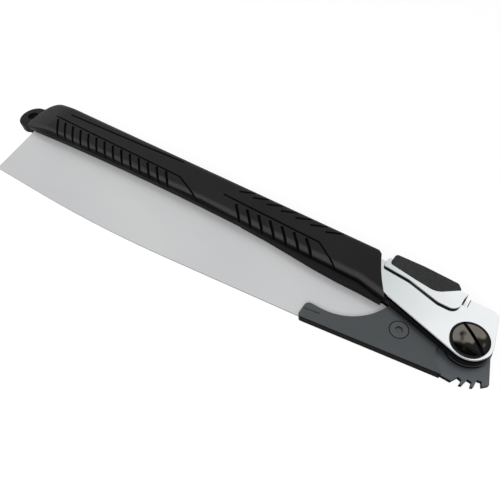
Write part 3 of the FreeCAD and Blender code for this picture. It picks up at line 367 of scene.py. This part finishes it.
def towards_tail(start, full):
    """A mask that is 0 ahead of start and grows to 1 at full, both in millimetres along X."""
    def mask(tree):
        place = add_node(tree, "ShaderNodeTexCoord")
        split = add_node(tree, "ShaderNodeSeparateXYZ")
        share = add_node(tree, "ShaderNodeMapRange", From_Min=start * MM, From_Max=full * MM)
        tree.links.new(place.outputs["Object"], split.inputs[0])
        tree.links.new(split.outputs["X"], share.inputs["Value"])
        return share.outputs["Result"]
    return mask


def along_line(angle, offset, half_width):
    """A mask that is 1 within half_width of a line that passes the pivot at offset, in millimetres."""
    def mask(tree):
        place = add_node(tree, "ShaderNodeTexCoord")
        across = add_node(tree, "ShaderNodeVectorMath", operation="DOT_PRODUCT")
        turn = math.radians(angle)
        across.inputs[1].default_value = (-math.sin(turn), math.cos(turn), 0)
        shifted = add_node(tree, "ShaderNodeMath", operation="SUBTRACT")
        shifted.inputs[1].default_value = offset * MM
        distance = add_node(tree, "ShaderNodeMath", operation="ABSOLUTE")
        step = add_node(
            tree, "ShaderNodeMapRange", From_Min=(half_width + LINE_BLUR) * MM,
            From_Max=(half_width - LINE_BLUR) * MM)
        tree.links.new(place.outputs["Object"], across.inputs[0])
        tree.links.new(across.outputs["Value"], shifted.inputs[0])
        tree.links.new(shifted.outputs[0], distance.inputs[0])
        tree.links.new(distance.outputs[0], step.inputs["Value"])
        return step.outputs["Result"]
    return mask


def painted_dark_half(direction, reach):
    """A mask for a painted dark reflection: 1 on the side of the pivot away from direction, with a ragged
    border.
    """
    def mask(tree):
        place = add_node(tree, "ShaderNodeTexCoord")
        side = add_node(tree, "ShaderNodeVectorMath", operation="DOT_PRODUCT")
        side.inputs[1].default_value = (direction[0] / (reach * MM), direction[1] / (reach * MM), 0)
        border_noise = drift(tree, HAZE, -DARK_HALF_REACH, DARK_HALF_REACH, DARK_HALF_NOISE)
        ragged = add_node(tree, "ShaderNodeMath", operation="ADD")
        step = add_node(tree, "ShaderNodeMapRange", From_Min=DARK_HALF_BORDER[0], From_Max=DARK_HALF_BORDER[1])
        tree.links.new(place.outputs["Object"], side.inputs[0])
        tree.links.new(side.outputs["Value"], ragged.inputs[0])
        tree.links.new(border_noise, ragged.inputs[1])
        tree.links.new(ragged.outputs[0], step.inputs["Value"])
        return step.outputs["Result"]
    return mask


# %% The recipe
def new_finish(name, tones, roughness, metallic, tone_effect, rough_effect, bump_effect, bump, **settings):
    """A material. tones are two colours, roughness two values, bump a height in millimetres.

    settings may hold marks (pairs of a mask and its tone), gloss, rim_tint, and the noise scales of
    tone, rough and relief.
    """
    material = bpy.data.materials.new(name)
    material.use_nodes = True
    tree = material.node_tree
    shader = tree.nodes["Principled BSDF"]
    shader.inputs["Metallic"].default_value = metallic
    colour = add_node(tree, "ShaderNodeMix", data_type="RGBA")
    colour.inputs[6].default_value = (*tones[0], 1)
    colour.inputs[7].default_value = (*tones[1], 1)
    tree.links.new(drift(tree, tone_effect, 0, 1, settings.get("tone", {})), colour.inputs["Factor"])
    for mask, tone in settings.get("marks", []):
        marked = add_node(tree, "ShaderNodeMix", data_type="RGBA")
        marked.inputs[7].default_value = (*tone, 1)
        tree.links.new(mask(tree), marked.inputs["Factor"])
        tree.links.new(colour.outputs[2], marked.inputs[6])
        colour = marked
    tree.links.new(colour.outputs[2], shader.inputs["Base Color"])
    if "gloss" in settings:
        shader.inputs["Specular IOR Level"].default_value = settings["gloss"]
    if "rim_tint" in settings:
        shader.inputs["Specular Tint"].default_value = (*[settings["rim_tint"]] * 3, 1)
    rough = drift(tree, rough_effect, roughness[0], roughness[1], settings.get("rough", {}))
    tree.links.new(rough, shader.inputs["Roughness"])
    relief = add_node(tree, "ShaderNodeBump", Strength=1.0, Distance=bump * MM)
    tree.links.new(drift(tree, bump_effect, 0, 1, settings.get("relief", {})), relief.inputs["Height"])
    tree.links.new(relief.outputs[0], shader.inputs["Normal"])
    return material


# %% [markdown]
# ## The finishes of this saw
# The blade is cold-rolled steel whose satin face drifts between a faintly blue and a neutral grey;
# its upright walls are painted grey as shade. The holder and lock plate are grey-painted steel whose
# upright walls carry painted shade, near black. The head's cheeks and the latch lever are chrome with
# a painted reflection that darkens towards the tail and a painted dark reflection on their walls. The
# pivot screw is black chrome: its marks are a painted dark reflection over one half, a dark rim and
# painted shade along its slot. The liners, the nylon core, the rubber grip and the thumb pad are four
# different blacks; the liners' black stands in for the head's walls reflecting dark, as painted shade.
# The rubber carries a painted sheen and painted shade on its walls, and its grooves are painted
# shade, darker still.

# %% Steel and paint
# Near black, painted as shade: on upright walls, in the gap round the clamp screw and along the pivot
# screw's slot.
SHADE_BLACK = (0.004, 0.004, 0.0045)
# The blade's upright walls are painted a darker grey as shade.
blade_finish = new_finish(
    "satin_blade_steel", [(0.655, 0.66, 0.675), (0.725, 0.73, 0.72)], (0.38, 0.46), 0.35,
    HAZE, GRAIN, GRAIN, 0.004, tone={"Along": 5, "Across": 9}, marks=[(painted_wall_shade, (0.16, 0.165, 0.17))])
# The holder's and the lock plate's upright walls are painted near black as shade.
holder_finish = new_finish(
    "grey_painted_steel", [(0.092, 0.100, 0.104), (0.108, 0.116, 0.120)], (0.38, 0.46), 0.7,
    HAZE, HAZE, SPECKLE, 0.005, marks=[(painted_wall_shade, SHADE_BLACK)], gloss=0.12, rim_tint=0.15)
# The clamp screw's rim beyond 4.95 mm is painted near black as the shade in the gap round it.
clamp_finish = new_finish(
    "grey_clamp", [(0.100, 0.108, 0.112), (0.120, 0.128, 0.132)], (0.38, 0.46), 0.7,
    HAZE, HAZE, SPECKLE, 0.005, marks=[(outside_radius((-33.2, -11.15), 4.95), SHADE_BLACK)],
    gloss=0.12, rim_tint=0.15)
plate_finish = new_finish(
    "grey_lock_plate", [(0.108, 0.118, 0.126), (0.126, 0.136, 0.144)], (0.34, 0.42), 0.75,
    HAZE, GRAIN, SPECKLE, 0.005, marks=[(painted_wall_shade, SHADE_BLACK)], gloss=0.12, rim_tint=0.15)
# The chrome's colour is a painted reflection that darkens towards the tail, and its upright walls get a
# painted dark reflection.
chrome_finish = new_finish(
    "satin_chrome", [(0.86, 0.885, 0.89), (0.97, 0.99, 0.99)], (0.10, 0.18), 1.0,
    HAZE, HAZE, SPECKLE, 0.001, marks=[
        (towards_tail(-16, -52), (0.66, 0.70, 0.71)),
        (painted_wall_shade, (0.008, 0.008, 0.009))])
# The bar's upright walls are painted near black as shade.
bar_finish = new_finish(
    "polished_bar", [(0.80, 0.81, 0.82), (0.92, 0.93, 0.94)], (0.14, 0.22), 1.0,
    HAZE, GRAIN, GRAIN, 0.002, marks=[(painted_wall_shade, SHADE_BLACK)])
bright_finish = new_finish(
    "bright_steel", [(0.60, 0.61, 0.62), (0.72, 0.73, 0.74)], (0.22, 0.32), 1.0,
    HAZE, GRAIN, GRAIN, 0.003)
# On the black chrome: a painted dark reflection on the front half of the dome, a darker rim beyond 8.7 mm,
# and painted shade along the slot.
black_chrome_finish = new_finish(
    "black_chrome", [(0.13, 0.117, 0.097), (0.22, 0.20, 0.167)], (0.04, 0.09), 1.0,
    HAZE, HAZE, SPECKLE, 0.0006, marks=[
        (painted_dark_half((-0.52, 0.85), 10), (0.02, 0.019, 0.018)),
        (outside_radius((0, 0), 8.7), (0.015, 0.015, 0.016)),
        (along_line(-40, 1.8, 0.95), SHADE_BLACK)])
print("metal finishes", [material.name for material in bpy.data.materials])

# %% Black parts
# The liners' black stands in for the head's walls reflecting dark: it is painted shade.
liner_shade_finish = new_finish(
    "liner_shade_black", [(0.004, 0.004, 0.0045), (0.007, 0.007, 0.008)], (0.40, 0.55), 0.0,
    HAZE, HAZE, SPECKLE, 0.008, gloss=0.12)
# The nylon's upright walls are painted darker as shade.
nylon_finish = new_finish(
    "black_nylon", [(0.008, 0.008, 0.009), (0.014, 0.014, 0.016)], (0.40, 0.55), 0.0,
    HAZE, HAZE, SPECKLE, 0.012, gloss=0.1, marks=[(painted_wall_shade, (0.001, 0.001, 0.001))])
# The rubber gets a painted sheen where it turns a little towards the front, and its upright walls are
# painted near black as shade.
rubber_finish = new_finish(
    "black_rubber", [(0.012, 0.012, 0.0125), (0.017, 0.017, 0.0175)], (0.40, 0.52), 0.0,
    HAZE, HAZE, SPECKLE, 0.03, relief={"Along": 2600, "Across": 2600}, gloss=0.1,
    marks=[(facing_front(-0.05, -0.35), (0.042, 0.042, 0.043)), (painted_wall_shade, (0.001, 0.001, 0.001))])
# The grooves' darker rubber is painted shade in the hollows.
groove_shade_finish = new_finish(
    "groove_shade_rubber", [(0.0015, 0.0015, 0.0016), (0.0025, 0.0025, 0.0026)], (0.70, 0.80), 0.0,
    HAZE, HAZE, SPECKLE, 0.03, gloss=0.05)
pad_finish = new_finish(
    "pad_rubber", [(0.017, 0.017, 0.018), (0.030, 0.030, 0.032)], (0.50, 0.64), 0.0,
    SPECKLE, HAZE, SPECKLE, 0.03, tone={"Along": 900, "Across": 900},
    relief={"Along": 2600, "Across": 2600}, gloss=0.3)
print("finishes in all", len(bpy.data.materials))

# %% Give each CAD part its finish
FINISH_OF = {
    "blade": blade_finish,
    "holder_upper": holder_finish, "holder_lower": holder_finish,
    "clamp_screw": clamp_finish, "clamp_nut": holder_finish, "holder_rivets": holder_finish,
    "lock_plate": plate_finish,
    "cheek_upper": chrome_finish, "cheek_lower": chrome_finish, "lever_cover": chrome_finish,
    "lock_bar": bar_finish, "lever_rivets": bright_finish, "lever_spring": bright_finish,
    "fulcrum_pin": bright_finish, "spacer_rivet": bright_finish, "pivot_bush": bright_finish,
    "head_spacer": bright_finish, "core_rivets": bright_finish, "end_cap_pin": bright_finish,
    "pivot_screw": black_chrome_finish, "pivot_nut": black_chrome_finish,
    "washer_upper": plate_finish, "washer_lower": plate_finish,
    "liner_upper": liner_shade_finish, "liner_lower": liner_shade_finish,
    "handle_core": nylon_finish, "end_cap": nylon_finish,
    "grip": rubber_finish, "lever_pad": pad_finish,
}
for name, node in nodes.items():
    for slot in node.material_slots:
        slot.material = FINISH_OF[name]
print("finished", len(FINISH_OF), "of", len(nodes))

# %% [markdown]
# ## A groove cutter
# Grooves in rubber are moulded, with rounded bottoms. A six-sided tube whose centre runs just above
# the surface cuts such a groove when it is taken away by a Boolean. Moving the sleeve's own points
# would need a far finer mesh. The tube starts as a circle primitive, a filled ring, which is extruded
# from point to point along its route.

# %% Tubes that follow a route
TUBE_SIDES = 6


def pick_only(piece):
    """Makes one object the only selected and the active one."""
    bpy.ops.object.select_all(action="DESELECT")
    piece.select_set(True)
    bpy.context.view_layer.objects.active = piece


def cutter_tube(route, radius):
    """A closed tube through the points of route, which are in millimetres."""
    points = [Vector(p) * MM for p in route]
    bpy.ops.object.select_all(action="DESELECT")
    facing = (points[1] - points[0]).to_track_quat("Z", "Y").to_euler()
    bpy.ops.mesh.primitive_circle_add(
        vertices=TUBE_SIDES, radius=radius * MM, fill_type="NGON", location=points[0], rotation=facing)
    tube = bpy.context.object
    bpy.ops.object.transform_apply(location=True, rotation=True)
    bpy.ops.object.mode_set(mode="EDIT")
    bpy.ops.mesh.select_all(action="SELECT")
    for here, there in zip(points, points[1:]):
        bpy.ops.mesh.extrude_region_move(TRANSFORM_OT_translate={"value": there - here})
    bpy.ops.mesh.select_all(action="SELECT")
    bpy.ops.mesh.normals_make_consistent(inside=False)
    bpy.ops.object.mode_set(mode="OBJECT")
    return tube


def join_pieces(pieces, name):
    """One object from several."""
    bpy.ops.object.select_all(action="DESELECT")
    for piece in pieces:
        piece.select_set(True)
    bpy.context.view_layer.objects.active = pieces[0]
    bpy.ops.object.join()
    bpy.context.object.name = name
    return bpy.context.object


# %% [markdown]
# ## The grip
# The grip is one rubber sleeve. It could be shaped from a box, but the CAD node already has its
# outline and rounded edges, so the detailed piece starts as a welded copy of it. Two panels on each
# face carry slanted ribs, framed above by a fine line that drops to the lower edge at the panel's
# end. Near the back a third fine line runs along the rear panel, and short thumb grooves lie above
# the front one.

# %% Copy the CAD sleeve
# Points closer than this many millimetres become one, and faces within this many degrees too.
WELD_DISTANCE = 0.002
FLAT_ANGLE = 0.05


def welded_copy(node_name, name, finish):
    """A closed copy of a CAD node, whose own mesh is loose triangles, in one finish."""
    piece = bpy.data.objects.new(name, nodes[node_name].data.copy())
    bpy.context.collection.objects.link(piece)
    piece.data.materials.clear()
    piece.data.materials.append(finish)
    pick_only(piece)
    bpy.ops.object.mode_set(mode="EDIT")
    bpy.ops.mesh.customdata_custom_splitnormals_clear()
    bpy.ops.mesh.select_all(action="SELECT")
    bpy.ops.mesh.remove_doubles(threshold=WELD_DISTANCE * MM)
    bpy.ops.mesh.dissolve_limited(angle_limit=math.radians(FLAT_ANGLE))
    bpy.ops.object.mode_set(mode="OBJECT")
    return piece


grip = welded_copy("grip", "grip_sleeve", rubber_finish)
print("grip", len(grip.data.vertices), "vertices", len(grip.data.polygons), "faces")

# %% [markdown]
# The tail end gets thinner towards the hanging lug. Bisect adds rings of points across the sleeve
# there, and each point's height above or below the middle plane is then scaled by how far back it
# lies. A lattice could bend it too, but the rings give the taper its curve directly. The nylon core
# inside has to follow, so a copy of it is tapered in the same way.

# %% Taper the tail
TAPER_START = -336.0
TAPER_LENGTH = 30.5
TAPER_LOSS = 0.5
TAPER_CURVE = 1.4
RING_COUNT = 10
RING_GAP = 3.0
MIDDLE = 11.0


def taper_tail(piece):
    """Thins a piece behind TAPER_START, about the saw's middle plane."""
    pick_only(piece)
    bpy.ops.object.mode_set(mode="EDIT")
    for ring in range(RING_COUNT):
        bpy.ops.mesh.select_all(action="SELECT")
        bpy.ops.mesh.bisect(
            plane_co=((TAPER_START - RING_GAP * ring) * MM, 0, 0), plane_no=(1, 0, 0))
    bpy.ops.object.mode_set(mode="OBJECT")
    for point in piece.data.vertices:
        share = max(0.0, TAPER_START - point.co.x / MM) / TAPER_LENGTH
        scale = 1 - TAPER_LOSS * min(share, 1.0) ** TAPER_CURVE
        point.co.z = MIDDLE * MM + (point.co.z - MIDDLE * MM) * scale


core = welded_copy("handle_core", "core_frame", nylon_finish)
for piece in (grip, core):
    taper_tail(piece)
print("tapered", grip.name, core.name)

# %% [markdown]
# The grooves have to meet the sleeve's edges, which curve. Rays sent at the sleeve from outside
# find where its lower edge and its back lie at any place along the saw.

# %% Where the edges lie
# How far out a ray starts, and the height at which it meets the sleeve's lower wall.
OUTSIDE = 50
WALL_HEIGHT = 4


def lower_edge(x):
    """Height in Y of the grip's lower edge above or below the pivot axis, in millimetres."""
    hit = grip.ray_cast((x * MM, -OUTSIDE * MM, WALL_HEIGHT * MM), (0, 1, 0))
    return hit[1].y / MM


def back_edge(x):
    """Height in Y of the grip's back above the pivot axis, in millimetres."""
    hit = grip.ray_cast((x * MM, OUTSIDE * MM, MIDDLE * MM), (0, -1, 0))
    return hit[1].y / MM


print("back edge", [(x, round(back_edge(x), 2)) for x in (-326, -260, -164, -100)])
print("lower edge", [(x, round(lower_edge(x), 2)) for x in (-340, -260, -160, -90, -81)])

# %% [markdown]
# A rib starts on the face, runs down at a slant and follows the rounded lower edge inwards, so each
# route has one point on the face and four over the round. All routes are in millimetres.

# %% From the face over the lower edge
FACE = 22.0
# Points over the round, each as its height above the lower edge and its depth below the face.
EDGE_ROUND = [(5.0, 0.0), (2.2, 0.75), (0.75, 2.2), (0.1, 4.0)]


def over_edge(x, y, slant):
    """From a point of the face to the lower edge and over its round; slant is X per fall in Y."""
    low = lower_edge(x + (y - lower_edge(x)) * slant)
    route = [(x, y, FACE)]
    for height, depth in EDGE_ROUND:
        route.append((x + (y - low - height) * slant, low + height, FACE - depth))
    return route


# %% Ribs and lines
RIB_PITCH = 8.954
RIB_SLANT = 1.0
REAR_RIBS = {"start": -337.1, "top": 10.2, "count": 14}
FRONT_RIBS = {"start": -159.45, "top": 11.0, "count": 7}
# The back line's points, each as its place along the saw and its distance from the back.
BACK_LINE = [(-331, 9.0), (-300, 8.0), (-255, 6.5), (-215, 4.6)]


def rib_row(start, top, count):
    """Routes of a panel's ribs, one pitch apart."""
    return [over_edge(start + RIB_PITCH * n, top, RIB_SLANT) for n in range(count)]


rear_ribs = rib_row(**REAR_RIBS)
front_ribs = rib_row(**FRONT_RIBS)
panel_lines = [
    [(-345, 12.3, FACE)] + over_edge(-208.7, 11.2, 2.4),
    [(-172, 13.9, FACE)] + over_edge(-97.4, 12.4, 1.63),
    [(x, back_edge(x) - drop, FACE) for x, drop in BACK_LINE],
]
print("ribs", len(rear_ribs + front_ribs), "lines", len(panel_lines))

# %% Thumb strokes
STROKE_START = -164
STROKE_PITCH = 11
STROKE_COUNT = 7
# A stroke's points, each as its way along the saw, its distance from the back and its depth.
STROKE = [(0, 7.2, 0), (6, 4.8, 0), (10, 2.8, 0.5)]
STROKE_MIDDLE = 5
thumb_strokes = []
for n in range(STROKE_COUNT):
    x = STROKE_START + STROKE_PITCH * n
    back = back_edge(x + STROKE_MIDDLE)
    thumb_strokes.append([(x + ahead, back - drop, FACE - depth) for ahead, drop, depth in STROKE])
print("strokes", len(thumb_strokes))

# %% [markdown]
# The tubes of one kind are joined, mirrored to the other face and cut in one Boolean. They carry the
# groove finish, darker rubber that is painted shade in the hollows, and the Boolean passes it on to
# the faces that it makes.

# %% Booleans and mirror images
def combine(piece, other, operation):
    """Cuts other from piece or adds it, then deletes other. Its faces keep their finish."""
    pick_only(piece)
    boolean = piece.modifiers.new("combine", "BOOLEAN")
    boolean.operation = operation
    boolean.solver = "EXACT"
    boolean.object = other
    boolean.material_mode = "TRANSFER"
    bpy.ops.object.modifier_apply(modifier=boolean.name)
    bpy.data.objects.remove(other)
    print(piece.name, "has", len(piece.data.polygons), "faces")


def mirrored_pair(piece, plane_height):
    """Adds the mirror image of a piece across a level plane to it."""
    pick_only(piece)
    bpy.ops.object.mode_set(mode="EDIT")
    bpy.ops.mesh.select_all(action="SELECT")
    bpy.ops.mesh.duplicate()
    bpy.ops.transform.resize(value=(1, 1, -1), center_override=(0, 0, plane_height))
    bpy.ops.mesh.select_all(action="SELECT")
    bpy.ops.mesh.normals_make_consistent(inside=False)
    bpy.ops.object.mode_set(mode="OBJECT")
    return piece


# %% Cut both faces
RIB_RADIUS = 1.05
LINE_RADIUS = 0.75
STROKE_RADIUS = 0.8
groove_kinds = [
    (rear_ribs + front_ribs, RIB_RADIUS), (panel_lines, LINE_RADIUS), (thumb_strokes, STROKE_RADIUS)]
for routes, radius in groove_kinds:
    tubes = join_pieces([cutter_tube(route, radius) for route in routes], "grooves")
    tubes.data.materials.append(groove_shade_finish)
    combine(grip, mirrored_pair(tubes, MIDDLE * MM), "DIFFERENCE")

# %% [markdown]
# ## The slot's lips
# Towards the head the nylon core comes out below the rubber, as two lips that guide the blade into
# its slot. Their lower edge falls in a long curve towards the head, which a plain box could not
# follow. So a lip starts as a plane that faces along the saw and is extruded from station to
# station, and its height is changed at each one by scaling about the station's middle. A Boolean
# union makes it one with the core.

# %% Model the lips
LIP_Z = (12.7, 17.2)
# Each station is its place along the saw and the heights in Y of the lip's lower and upper edge.
LIP_STATIONS = [
    (-150, 1.9, 2.5), (-129, 1.2, 2.5), (-112, 0.0, 2.5), (-95.5, -1.3, 2.5),
    (-78, -2.0, 2.5), (-62, -1.9, 2.5), (-49, -2.4, 1.6)]


def lip_bar(stations, low_z, high_z):
    """A closed bar that runs through its stations, all in millimetres."""
    x, low, high = stations[0]
    middle_z = (low_z + high_z) / 2 * MM
    bpy.ops.object.select_all(action="DESELECT")
    bpy.ops.mesh.primitive_plane_add(
        size=1, location=(x * MM, (low + high) / 2 * MM, middle_z), rotation=(0, -math.pi / 2, 0))
    bar = bpy.context.object
    bar.scale = ((high_z - low_z) * MM, (high - low) * MM, 1)
    bpy.ops.object.transform_apply(location=True, rotation=True, scale=True)
    bpy.ops.object.mode_set(mode="EDIT")
    bpy.ops.mesh.select_all(action="SELECT")
    for (x, low, high), (next_x, next_low, next_high) in zip(stations, stations[1:]):
        next_middle = (next_low + next_high) / 2
        step = ((next_x - x) * MM, (next_middle - (low + high) / 2) * MM, 0)
        bpy.ops.mesh.extrude_region_move(TRANSFORM_OT_translate={"value": step})
        growth = (next_high - next_low) / (high - low)
        bpy.ops.transform.resize(
            value=(1, growth, 1), center_override=(next_x * MM, next_middle * MM, middle_z))
    bpy.ops.mesh.select_all(action="SELECT")
    bpy.ops.mesh.normals_make_consistent(inside=False)
    bpy.ops.object.mode_set(mode="OBJECT")
    return bar


lips = mirrored_pair(lip_bar(LIP_STATIONS, *LIP_Z), MIDDLE * MM)
lips.data.materials.append(nylon_finish)
combine(core, lips, "UNION")

# %% [markdown]
# ## Handing over
# Each new piece is shaded smooth except at its edges, rides on the handle and takes the place of
# its CAD node.

# %% Smooth and hand over
SMOOTH_ANGLE = 32


def finish_piece(piece, node_name, body):
    """Last steps for a new piece: shading, body and the node it stands for."""
    pick_only(piece)
    bpy.ops.object.shade_smooth_by_angle(angle=math.radians(SMOOTH_ANGLE))
    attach(piece, body)
    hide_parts(node_name)
    print(piece.name, "stands for", node_name, "on", body)


finish_piece(grip, "grip", "handle")
finish_piece(core, "handle_core", "handle")
